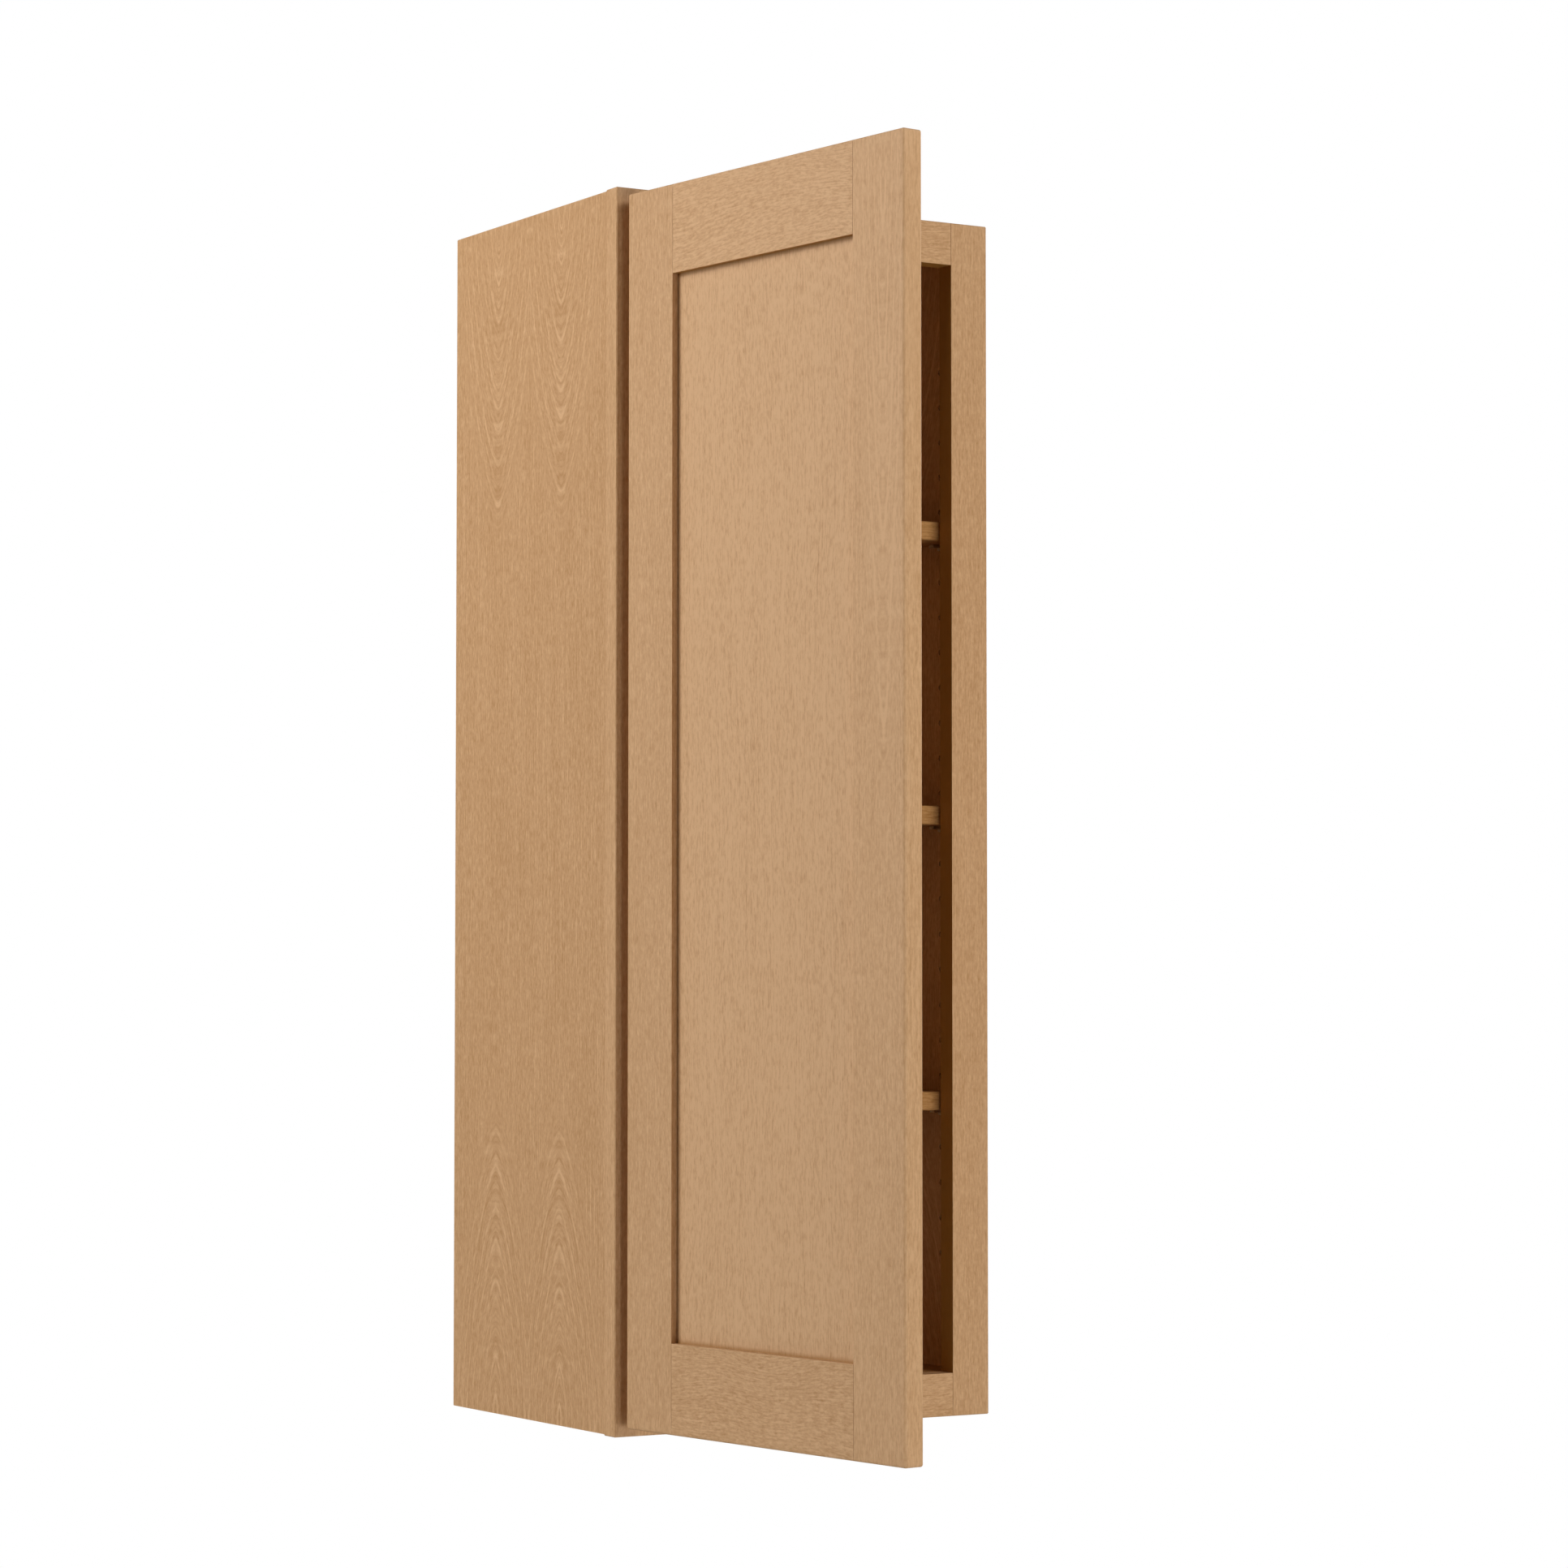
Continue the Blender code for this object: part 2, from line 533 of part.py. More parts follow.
def make_pins(number, z, steel):
    half = EAR_OUTER + FIT_GAP + PIVOT_HEAD
    head = half - PIVOT_HEAD
    shape = [(0, half), (PIVOT_HEAD_RADIUS, half), (PIVOT_HEAD_RADIUS, head), (PIVOT_RADIUS, head),
             (PIVOT_RADIUS, -head), (PIVOT_HEAD_RADIUS, -head), (PIVOT_HEAD_RADIUS, -half), (0, -half)]
    turned(f"hinge_{number}_arm_pin", shape, 12, steel, (ARM_PIVOT.x, ARM_PIVOT.y, z))
    offset = CUP_CENTRE_X - CUP_PIVOT.x + PIVOT_RADIUS
    half = math.sqrt((CUP_RADIUS - CUP_WALL / 2) ** 2 - offset ** 2)
    shape = [(0, half), (PIVOT_RADIUS, half), (PIVOT_RADIUS, -half), (0, -half)]
    return turned(f"hinge_{number}_cup_pin", shape, 12, steel, (CUP_PIVOT.x, CUP_PIVOT.y, z))


def make_hinge_screws(number, z, steel):
    """Two countersunk screws in the cup's wings and a round-headed one through the arm."""
    top = DOOR_BACK + FIT_GAP + FLANGE_THICKNESS
    shape = [(0, 0), (CUP_SCREW_HEAD_RADIUS, 0), (SCREW_RADIUS, -FLANGE_THICKNESS),
             (SCREW_RADIUS, -SCREW_LENGTH + SCREW_RADIUS), (0, -SCREW_LENGTH)]
    cup_screws = [turned(f"hinge_{number}_cup_screw_{label}", shape, 12, steel,
                         (CUP_CENTRE_X, top, z + offset), "Y")
                  for label, offset in (("upper", CUP_SCREW_OFFSET), ("lower", -CUP_SCREW_OFFSET))]
    seat = -OPENING_HALF + ARM_THICKNESS + 2 * FIT_GAP
    shape = [(0, SCREW_HEAD), (SCREW_HEAD_RADIUS * 0.6, SCREW_HEAD * 0.85), (SCREW_HEAD_RADIUS, SCREW_HEAD / 3),
             (SCREW_HEAD_RADIUS, 0), (SCREW_RADIUS, 0), (SCREW_RADIUS, -SCREW_LENGTH + SCREW_RADIUS),
             (0, -SCREW_LENGTH)]
    turned(f"hinge_{number}_arm_screw", shape, 12, steel,
           (seat, FRAME_FRONT + FRAME_THICKNESS / 2, z), "X")
    return cup_screws


def make_hinges(steel):
    """All hinges; gives back the pieces that ride on the links and those that ride on the door."""
    on_links, on_door = [], []
    for number, z in enumerate(hinge_heights(), start=1):
        on_door += make_cup(f"hinge_{number}_cup", z, steel)
        on_links += make_link(f"hinge_{number}_link", z, steel)
        make_arm(f"hinge_{number}_arm", z, steel)
        on_door.append(make_pins(number, z, steel))
        on_door += make_hinge_screws(number, z, steel)
    return on_links, on_door


def swing_open(on_links, on_door):
    """Turns the links on the arms and the door on the links, to the angle it stands at."""
    links = pivot_empty("links_pivot", ARM_PIVOT)
    door = pivot_empty("door_pivot", CUP_PIVOT)
    hang_on(links, on_links + [door])
    hang_on(door, on_door)
    links.rotation_euler.z = math.radians(DOOR_OPEN_ANGLE * LINK_TURN_SHARE)
    door.rotation_euler.z = -math.radians(DOOR_OPEN_ANGLE * (1 + LINK_TURN_SHARE))


# ---- Build ----
for old in list(bpy.data.objects):
    bpy.data.objects.remove(old, do_unlink=True)
PARTS = bpy.data.collections.new("hanging_wall_cabinet")
CUTTERS = bpy.data.collections.new("cutters")
bpy.context.scene.collection.children.link(PARTS)
bpy.context.scene.collection.children.link(CUTTERS)

carcass_wood = make_material("stained_carcass", (0.55, 0.36, 0.19), 0.42)
frame_wood = make_material("stained_face_frame", (0.55, 0.36, 0.19), 0.4)
door_wood = make_material("stained_door", (0.56, 0.37, 0.2), 0.4)
interior_wood = make_material("stained_interior", (0.45, 0.28, 0.14), 0.5)
nickel = make_material("nickelled_steel", (0.62, 0.62, 0.6), 0.3, 1.0)
clear_rubber = make_material("clear_bumper", (0.8, 0.8, 0.78), 0.5)

make_sides(carcass_wood)
make_carcass_panels(interior_wood)
make_hanging_rails(interior_wood)
make_face_frame(frame_wood)
make_shelves(interior_wood, nickel)
link_pieces, cup_pieces = make_hinges(nickel)
swing_open(link_pieces, make_door(door_wood, clear_rubber) + cup_pieces)

for part in PARTS.objects:
    if part.type == "MESH" and part.name.startswith(("hinge_", "support_", "bumper_")):
        part.data.shade_smooth()
        part.data.set_sharp_from_angle(angle=math.radians(35))
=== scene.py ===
"""Looks of the hanging wall cabinet: stained wood boards, plated hinges, studio light and camera."""

import json
import math

import bpy
import numpy as np
from mathutils import Matrix, Vector


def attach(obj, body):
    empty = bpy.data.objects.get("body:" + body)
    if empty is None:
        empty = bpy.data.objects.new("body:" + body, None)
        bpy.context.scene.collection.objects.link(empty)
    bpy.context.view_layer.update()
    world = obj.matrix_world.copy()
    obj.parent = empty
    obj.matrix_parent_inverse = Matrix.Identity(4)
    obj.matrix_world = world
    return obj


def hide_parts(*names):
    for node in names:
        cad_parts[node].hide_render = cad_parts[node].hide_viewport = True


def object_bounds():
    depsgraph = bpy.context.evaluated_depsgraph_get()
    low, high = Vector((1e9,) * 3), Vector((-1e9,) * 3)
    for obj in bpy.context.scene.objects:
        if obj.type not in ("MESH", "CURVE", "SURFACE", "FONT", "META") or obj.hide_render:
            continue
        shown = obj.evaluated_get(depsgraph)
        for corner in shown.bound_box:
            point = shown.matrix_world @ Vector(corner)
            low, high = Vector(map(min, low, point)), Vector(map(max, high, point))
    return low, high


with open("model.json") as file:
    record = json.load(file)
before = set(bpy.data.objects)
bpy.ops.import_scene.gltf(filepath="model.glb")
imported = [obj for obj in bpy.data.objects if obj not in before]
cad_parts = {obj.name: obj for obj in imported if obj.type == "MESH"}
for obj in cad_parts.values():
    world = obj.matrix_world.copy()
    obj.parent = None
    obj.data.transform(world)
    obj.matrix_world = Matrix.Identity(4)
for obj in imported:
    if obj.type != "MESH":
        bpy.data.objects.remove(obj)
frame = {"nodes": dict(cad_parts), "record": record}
cad_low, cad_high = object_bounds()

# ---- What the frame says ----
BEHAVIOUR = frame["record"]["behaviour"]
JOINTS = {joint["name"]: joint for joint in BEHAVIOUR["joints"]}
LINK_SHARE = BEHAVIOUR["couplings"][0]["ratio"]
# the door's turn from shut to where it stands: its own joint's travel less what the links give back
DOOR_TURN = math.radians(-JOINTS["door_swing"]["range_deg"][0] * (1 + LINK_SHARE))
NODES = frame["nodes"]
DOOR_NODES = set(BEHAVIOUR["bodies"]["door"])

# ---- Colours, as linear light ----
STAIN_LIGHT = (0.640, 0.385, 0.197)
STAIN_DARK = (0.443, 0.234, 0.091)
# painted shade: the dark brown that faces in shade and the door's recess edges are turned towards
PAINTED_SHADE_BROWN = (0.300, 0.120, 0.004)
# painted shade: the interior wood is a darker, more saturated copy of the stain, standing in for the
# interior's shade
INSIDE_SHADED_LIGHT = (0.450, 0.232, 0.080)
INSIDE_SHADED_DARK = (0.285, 0.128, 0.034)
PLY_LIGHT = (0.600, 0.440, 0.280)
PLY_DARK = (0.330, 0.200, 0.100)
NICKEL = (0.620, 0.605, 0.570)
RUBBER = (0.800, 0.800, 0.770)

# ---- Figure of the wood, in metres where it is a length ----
ARCH_POINT = 1.45  # the p of the arches: 2 would be round, 1 would be a pointed V
ARCH_BLEND = 0.9  # how far the fibres follow the arches where these are strongest
FIBRE_WIDTH = 0.0016
FIBRE_LENGTH = 0.010
STREAK_ROUGHNESS = 0.6
BASE_TONE = 0.42
LATE_WOOD_PALENESS = 0.55
# arrises rubbed lighter: partly wear, partly a painted highlight
ARRIS_WEAR_AND_HIGHLIGHT = 0.12
ARRIS_REACH = (0.0018, 0.0003)
END_GRAIN_SPECKS = 1400
END_GRAIN_DEPTH = 0.62
PLY_PAIR = 0.0042
PLY_BLEND = 0.55
END_SOAK = 0.75
# how strongly the faces in shade take the painted shade
PAINTED_FACE_SHADE = 0.85
# painted shade in the door's sunk field: its strength, and how far it reaches from the stiles and rails
RECESS_PAINTED_SHADE = 0.28
RECESS_SIDE_REACH = 0.0035
RECESS_RAIL_REACH = 0.0045
WOOD_ROUGHNESS = 0.52
WOOD_BUMP = 0.00012
OUTSIDE_FINISH = dict(Specular_IOR_Level=0.24, Coat_Weight=0.03, Coat_Roughness=0.40)
INSIDE_FINISH = dict(Specular_IOR_Level=0.12, Coat_Weight=0.0)
DUST = (0.62, 0.58, 0.50)
NICKEL_DULLED = 0.78


# ---- Node tree shorthand ----
class Tree:
    """A material's node tree, with one short method for each kind of node."""

    def __init__(self, name):
        self.material = bpy.data.materials.new(name)
        self.material.use_nodes = True
        self.nodes = self.material.node_tree.nodes
        self.links = self.material.node_tree.links
        self.shader = self.nodes["Principled BSDF"]

    def put(self, socket, value):
        if isinstance(value, bpy.types.NodeSocket):
            self.links.new(value, socket)
        elif isinstance(value, tuple) and len(value) == 3 and socket.type == "RGBA":
            socket.default_value = (*value, 1.0)
        else:
            socket.default_value = value

    def math(self, operation, first, second=0.0):
        node = self.nodes.new("ShaderNodeMath")
        node.operation = operation
        for socket, value in zip(node.inputs, (first, second)):
            self.put(socket, value)
        return node.outputs[0]

    def add(self, *values):
        total = values[0]
        for value in values[1:]:
            total = self.math("ADD", total, value)
        return total

    def times(self, first, second):
        return self.math("MULTIPLY", first, second)

    def power(self, value, exponent):
        """The value's size, without its sign, raised to the exponent."""
        return self.math("POWER", self.math("ABSOLUTE", value), exponent)

    def span(self, value, low, high, out_low=0.0, out_high=1.0):
        """Maps low..high smoothly to out_low..out_high and holds the ends."""
        node = self.nodes.new("ShaderNodeMapRange")
        node.interpolation_type = "SMOOTHSTEP"
        for name, number in (("Value", value), ("From Min", low), ("From Max", high),
                             ("To Min", out_low), ("To Max", out_high)):
            self.put(node.inputs[name], number)
        return node.outputs["Result"]

    def mix(self, factor, first, second):
        node = self.nodes.new("ShaderNodeMix")
        node.data_type = "RGBA"
        self.put(node.inputs[0], factor)
        self.put(node.inputs[6], first)
        self.put(node.inputs[7], second)
        return node.outputs[2]

    def join(self, x, y, z):
        node = self.nodes.new("ShaderNodeCombineXYZ")
        for socket, value in zip(node.inputs, (x, y, z)):
            self.put(socket, value)
        return node.outputs[0]

    def split(self, vector):
        node = self.nodes.new("ShaderNodeSeparateXYZ")
        self.put(node.inputs[0], vector)
        return node.outputs

    def noise(self, vector, scale=1.0, detail=2.0, roughness=0.5):
        node = self.nodes.new("ShaderNodeTexNoise")
        self.put(node.inputs["Vector"], vector)
        for name, number in (("Scale", scale), ("Detail", detail), ("Roughness", roughness)):
            node.inputs[name].default_value = number
        return node.outputs[0]

    def place(self, vector, turn=0.0, shift=(0, 0, 0), kind="POINT"):
        node = self.nodes.new("ShaderNodeMapping")
        node.vector_type = kind
        self.put(node.inputs["Vector"], vector)
        node.inputs["Rotation"].default_value = (0, 0, turn)
        if kind == "POINT":
            node.inputs["Location"].default_value = shift
        return node.outputs[0]

    def coordinates(self, name):
        return self.nodes.new("ShaderNodeTexCoord").outputs[name]

    def bump(self, height, distance, strength):
        node = self.nodes.new("ShaderNodeBump")
        node.inputs["Distance"].default_value = distance
        node.inputs["Strength"].default_value = strength
        self.put(node.inputs["Height"], height)
        self.put(self.shader.inputs["Normal"], node.outputs[0])

    def finish(self, colour, roughness, metallic=0.0, **sockets):
        self.put(self.shader.inputs["Base Color"], colour)
        self.put(self.shader.inputs["Roughness"], roughness)
        self.shader.inputs["Metallic"].default_value = metallic
        for name, value in sockets.items():
            self.shader.inputs[name.replace("_", " ")].default_value = value
        return self.material


# ---- Stained wood ----
def board_box(node, turn):
    """A board's middle and half sizes along its own axes, which stand turned about Z."""
    points = np.empty(len(node.data.vertices) * 3, np.float32)
    node.data.vertices.foreach_get("co", points)
    points = points.reshape(-1, 3) @ np.array(Matrix.Rotation(turn, 3, "Z")).T
    low, high = points.min(0), points.max(0)
    return (low + high) / 2, (high - low) / 2


def wood(name, node, axes, arches=None, folded=False, wave=0.0, tone=0.0, seed=0.0, contrast=1.0,
         inside=False, ply=False, shaded_faces="", recess=None):
    """Stained, satin-lacquered wood for one board.

    axes names the board's own axes across, through and along the grain. Streaks of noise run along
    the fibres. On an arched board the fibres are lines of equal distance from a heart: the p-th root
    of |across - offset|^p + |slope * (crown - along)|^p. arches gives offset, slope, crown, the
    distance at which the arches fade out, and half the distance from one pale late line to the next.
    folded mirrors them about the board's middle both ways, as book-matched leaves are. wave bends
    straight fibres.
    The arrises are rubbed a little lighter, partly as wear and partly as a painted highlight; end grain
    and ply edges soak up more stain; shaded_faces are faces darkened with painted shade, and recess is
    the half width and half height of a sunk field whose edges are darkened with painted shade.
    """
    tree = Tree(name)
    turn = DOOR_TURN if node.name in DOOR_NODES else 0.0
    middle, half = board_box(node, turn)
    centre = tuple(float(-value) for value in middle)
    local = tree.split(tree.place(tree.coordinates("Object"), turn, centre))
    facing = tree.split(tree.place(tree.coordinates("Normal"), turn, kind="VECTOR"))
    order = ["xyz".index(axis) for axis in axes]
    across, through, along = (local[index] for index in order)
    face_through = tree.math("ABSOLUTE", facing[order[1]])
    face_end = tree.math("ABSOLUTE", facing[order[2]])

    bend_along = tree.add(tree.times(along, 3.5), seed)
    bend_place = tree.join(tree.times(across, 6), tree.times(through, 6), bend_along)
    bend = tree.math("SUBTRACT", tree.noise(bend_place, 1.0, 2.0), 0.5)
    line = tree.add(across, tree.times(bend, 0.012 + wave))
    ring = line
    arched = 0.0
    if arches:
        offset, slope, crown, reach, spacing = arches
        fold = (lambda value: tree.math("ABSOLUTE", value)) if folded else (lambda value: value)
        side = tree.add(fold(tree.add(across, tree.times(bend, 0.006))), -offset)
        rise = tree.times(tree.add(fold(along), tree.times(bend, 0.03), -crown), slope)
        both = tree.add(tree.power(side, ARCH_POINT), tree.power(rise, ARCH_POINT))
        ring = tree.power(both, 1 / ARCH_POINT)
        arched = tree.times(tree.span(ring, reach, reach * 0.75), ARCH_BLEND)

    def streaks(width, length, detail, offset):
        depth = tree.times(through, 1 / width)
        run = tree.add(tree.times(along, 1 / length), seed + offset)
        straight = tree.join(tree.times(line, 1 / width), depth, run)
        value = tree.noise(straight, 1.0, detail, STREAK_ROUGHNESS)
        if arches:
            curved = tree.join(tree.times(ring, 1 / width), depth, run)
            bent = tree.noise(curved, 1.0, detail, STREAK_ROUGHNESS)
            value = tree.add(value, tree.times(tree.math("SUBTRACT", bent, value), arched))
        return value

    def swing(value, amount):
        """Noise about its middle, as a swing of tone in step with the board's contrast."""
        return tree.times(tree.math("SUBTRACT", value, 0.5), amount * contrast)

    width, length = FIBRE_WIDTH, FIBRE_LENGTH
    fibre = streaks(width, length, 3.0, 3.1)
    fleck = streaks(width * 1.25, length * 0.35, 1.0, 5.3)
    strand = streaks(width * 1.9, length * 6, 3.0, 7.7)
    hair = streaks(width * 1.2, length * 11, 1.0, 23.3)
    cloud = streaks(0.040, 0.16, 2.0, 11.3)
    pore = tree.span(streaks(width * 0.7, length * 0.4, 1.0, 17.9), 0.62, 0.78)
    pale_hair = tree.span(hair, 0.60, 0.72)
    dark_hair = tree.span(hair, 0.38, 0.28)
    pores_and_hairs = (tree.times(pore, 0.28 * contrast), tree.times(pale_hair, -0.30 * contrast),
                       tree.times(dark_hair, 0.22 * contrast))
    amount = tree.add(BASE_TONE + tone, swing(fibre, 2.3), swing(fleck, 0.8), swing(strand, 0.7),
                      swing(cloud, 0.35), *pores_and_hairs)
    if arches:
        band = tree.math("PINGPONG", tree.add(ring, tree.times(bend, 0.01)), spacing)
        on_line = tree.span(band, spacing * 0.74, spacing * 0.97)
        late = tree.times(on_line, tree.span(strand, 0.36, 0.56))
        amount = tree.add(amount, tree.times(tree.times(late, arched), -LATE_WOOD_PALENESS))
    # inside boards take the darker interior copy of the stain as painted shade
    light, dark = (INSIDE_SHADED_LIGHT, INSIDE_SHADED_DARK) if inside else (STAIN_LIGHT, STAIN_DARK)
    colour = tree.mix(tree.math("MINIMUM", tree.math("MAXIMUM", amount, -0.2), 1.4), light, dark)

    gaps = [tree.math("SUBTRACT", float(half[index]), tree.math("ABSOLUTE", local[index]))
            for index in range(3)]
    nearest_two = tree.math("MAXIMUM", tree.math("MINIMUM", gaps[0], gaps[1]),
                            tree.math("MINIMUM", tree.math("MAXIMUM", gaps[0], gaps[1]), gaps[2]))
    # the arrises turn towards the light tone, partly as wear and partly as a painted highlight
    worn_and_highlit = tree.times(tree.span(nearest_two, *ARRIS_REACH), tree.span(fibre, 0.35, 0.6))
    colour = tree.mix(tree.times(worn_and_highlit, ARRIS_WEAR_AND_HIGHLIGHT), colour, light)

    soak = tree.span(face_end, 0.6, 0.9)
    speck_across = tree.times(across, END_GRAIN_SPECKS)
    speck = tree.noise(tree.join(speck_across, tree.times(through, END_GRAIN_SPECKS), seed), 1.0, 2.0)
    end_dark = tuple(value * END_GRAIN_DEPTH for value in dark)
    end_colour = tree.mix(tree.span(speck, 0.35, 0.7), dark, end_dark)
    if ply:
        layer = tree.math("FRACT", tree.add(tree.times(through, 1 / PLY_PAIR), 0.25))
        crossed = tree.times(tree.span(layer, 0.42, 0.5), tree.span(layer, 1.0, 0.92))
        plies = tree.mix(crossed, PLY_LIGHT, PLY_DARK)
        end_colour = tree.mix(PLY_BLEND, plies, colour)
        soak = tree.span(face_through, 0.5, 0.3)
    colour = tree.mix(tree.times(soak, END_SOAK), colour, end_colour)

    # painted shade: the faces listed here (the top rails' undersides, the right frame stile's inner edge)
    # turn dark brown where shade falls
    for face in shaded_faces.split():
        index = "xyz".index(face[1])
        sign = 1.0 if face[0] == "+" else -1.0
        painted_shade = tree.span(tree.times(facing[index], sign), 0.7, 0.95)
        colour = tree.mix(tree.times(painted_shade, PAINTED_FACE_SHADE), colour, PAINTED_SHADE_BROWN)

    # painted shade: the sunk field darkens towards its stiles and rails, standing in for the occlusion
    # shade there
    if recess:
        to_side = tree.math("SUBTRACT", recess[0], tree.math("ABSOLUTE", across))
        to_rail = tree.math("SUBTRACT", recess[1], tree.math("ABSOLUTE", along))
        by_rail = tree.times(tree.span(to_rail, RECESS_RAIL_REACH, 0.0), 2.0)
        corner = tree.add(tree.span(to_side, RECESS_SIDE_REACH, 0.0), by_rail)
        colour = tree.mix(tree.times(corner, RECESS_PAINTED_SHADE), colour, PAINTED_SHADE_BROWN)

    height = tree.add(tree.times(fibre, 0.6), tree.times(strand, 0.3), tree.times(pore, -0.9))
    tree.bump(height, WOOD_BUMP, 0.5)
    rough = tree.add(WOOD_ROUGHNESS, swing(fibre, 0.16), tree.times(pore, 0.12), tree.times(soak, 0.12))
    return tree.finish(colour, rough, **(INSIDE_FINISH if inside else OUTSIDE_FINISH))


# ---- Metal and rubber ----
def plated_steel(name):
    """Nickel-plated pressed steel: rolled streaks, faint dimples and dulled patches."""
    tree = Tree(name)
    place = tree.coordinates("Object")
    x, y, z = tree.split(place)
    rolled = tree.join(tree.times(x, 900), tree.times(y, 900), tree.times(z, 70))
    streak = tree.noise(rolled, 1.0, 3.0)
    patch = tree.noise(place, 160.0, 3.0, 0.6)
    dulled = tuple(value * NICKEL_DULLED for value in NICKEL)
    colour = tree.mix(tree.span(patch, 0.35, 0.75), NICKEL, dulled)
    rough = tree.add(0.24, tree.times(streak, 0.14), tree.times(patch, 0.12))
    tree.bump(tree.add(tree.times(streak, 0.5), tree.times(patch, 0.6)), 0.00004, 0.5)
    return tree.finish(colour, rough, 1.0)


def soft_clear_rubber(name):
    """Clear soft plastic that has gathered a little dust."""
    tree = Tree(name)
    dust = tree.noise(tree.coordinates("Object"), 700.0, 4.0, 0.6)
    colour = tree.mix(tree.span(dust, 0.45, 0.8), RUBBER, DUST)
    tree.bump(dust, 0.00005, 0.4)
    return tree.finish(colour, tree.add(0.30, tree.times(dust, 0.25)), Transmission_Weight=0.55, IOR=1.48)


def dress(node, material):
    """Gives a node or piece this one material."""
    node.data.materials.clear()
    node.data.materials.append(material)


def door_recess():
    """Half width and half height of the sunk field between the door's stiles and rails."""
    stile_middle = [board_box(NODES["door_stile_" + end], DOOR_TURN) for end in ("hinge", "free")]
    rail_middle = [board_box(NODES["door_rail_" + end], DOOR_TURN) for end in ("bottom", "top")]
    wide = abs(stile_middle[1][0][0] - stile_middle[0][0][0]) - 2 * stile_middle[0][1][0]
    tall = rail_middle[1][0][2] - rail_middle[0][0][2] - 2 * rail_middle[0][1][2]
    return float(wide) / 2, float(tall) / 2


BOOK_MATCH = dict(axes="yxz", arches=(0.060, 0.30, 0.53, 0.092, 0.0050), folded=True, ply=True, tone=0.20)
UPRIGHT = dict(axes="xyz", contrast=0.8)
CROSSWISE = dict(axes="zyx", wave=0.045)
FACE = {
    "side_left": dict(BOOK_MATCH, seed=1.3),
    "side_right": dict(BOOK_MATCH, seed=4.7),
    "frame_stile_left": dict(UPRIGHT, seed=2.2),
    "frame_stile_right": dict(UPRIGHT, seed=5.9, shaded_faces="-x"),
    "frame_rail_top": dict(CROSSWISE, seed=8.1, shaded_faces="-z"),
    "frame_rail_bottom": dict(CROSSWISE, seed=9.4),
    "door_stile_hinge": dict(UPRIGHT, seed=12.5),
    "door_stile_free": dict(UPRIGHT, tone=-0.14, arches=(0.006, 0.055, 0.52, 0.034, 0.0036), seed=15.2),
    "door_rail_top": dict(CROSSWISE, tone=-0.14, seed=18.6, shaded_faces="-z"),
    "door_rail_bottom": dict(CROSSWISE, seed=21.1),
    "door_panel": dict(UPRIGHT, wave=0.010, tone=-0.28, seed=24.8, contrast=0.95, recess=door_recess()),
}
FLAT_BOARD = dict(axes="yzx")
INSIDE = {
    "top_panel": dict(FLAT_BOARD, seed=31.0),
    "bottom_panel": dict(FLAT_BOARD, seed=33.5),
    "back_panel": dict(axes="xyz", arches=(0.055, 0.30, 0.50, 0.09, 0.0050), folded=True, seed=36.2),
    "hanging_rail_top": dict(CROSSWISE, seed=38.9),
    "hanging_rail_bottom": dict(CROSSWISE, seed=41.4),
    "shelf_1": dict(FLAT_BOARD, seed=44.0),
    "shelf_2": dict(FLAT_BOARD, seed=46.3),
    "shelf_3": dict(FLAT_BOARD, seed=48.8),
}
for board, facts in FACE.items():
    dress(NODES[board], wood("stained_" + board, NODES[board], **facts))
for board, facts in INSIDE.items():
    dress(NODES[board], wood("stained_" + board, NODES[board], inside=True, **facts))
steel = plated_steel("nickel_plate")
rubber = soft_clear_rubber("bumper_rubber")
for name, node in NODES.items():
    if name.startswith(("hinge_", "support_")):
        dress(node, steel)
    elif name.startswith("bumper_"):
        dress(node, rubber)


# ---- Turned and pressed pieces ----
AROUND = 48
SCREW_THREAD_PITCH = 0.0012
SCREW_THREAD_DEPTH = 0.0003
SCREW_SHANK_RADIUS = 0.0016
CROSS_HALF_WIDTH = 0.00038
CROSS_DEPTH = 0.0008
CUP_SHEET = 0.001
CUP_FLANGE_MARGIN = 0.0014
CUP_AROUND = 96
CUP_WING_ROUND = 0.0085
CUP_SCREW_INSET = 0.0046
CUP_SCREW_DIMPLE = 0.0032
CUP_DIMPLE_DEPTH = 0.00055
CUP_FILLET = 0.0025
CUP_ROLL = 0.0005
SHARP_EDGE = math.radians(40)
ARM_SCREW_CROWN = 0.0005
ARM_SCREW_SEAT = (0.0013, 0.00135)
CUP_SCREW_CROWN = 0.00012
CUP_SCREW_SEAT = (0.0001, 0.0011)
BUMPER_ROUNDNESS = 2.4
BUMPER_DOME_SHARE = 0.8


def ridge(turns):
    """A triangle wave: 0 at whole turns and 1 halfway between them."""
    return 1 - np.abs(2 * np.mod(turns, 1.0) - 1)


def soft_step(value, low, high):
    """Cubic ease from 0 at low to 1 at high."""
    step = np.clip((value - low) / (high - low), 0, 1)
    return step * step * (3 - 2 * step)


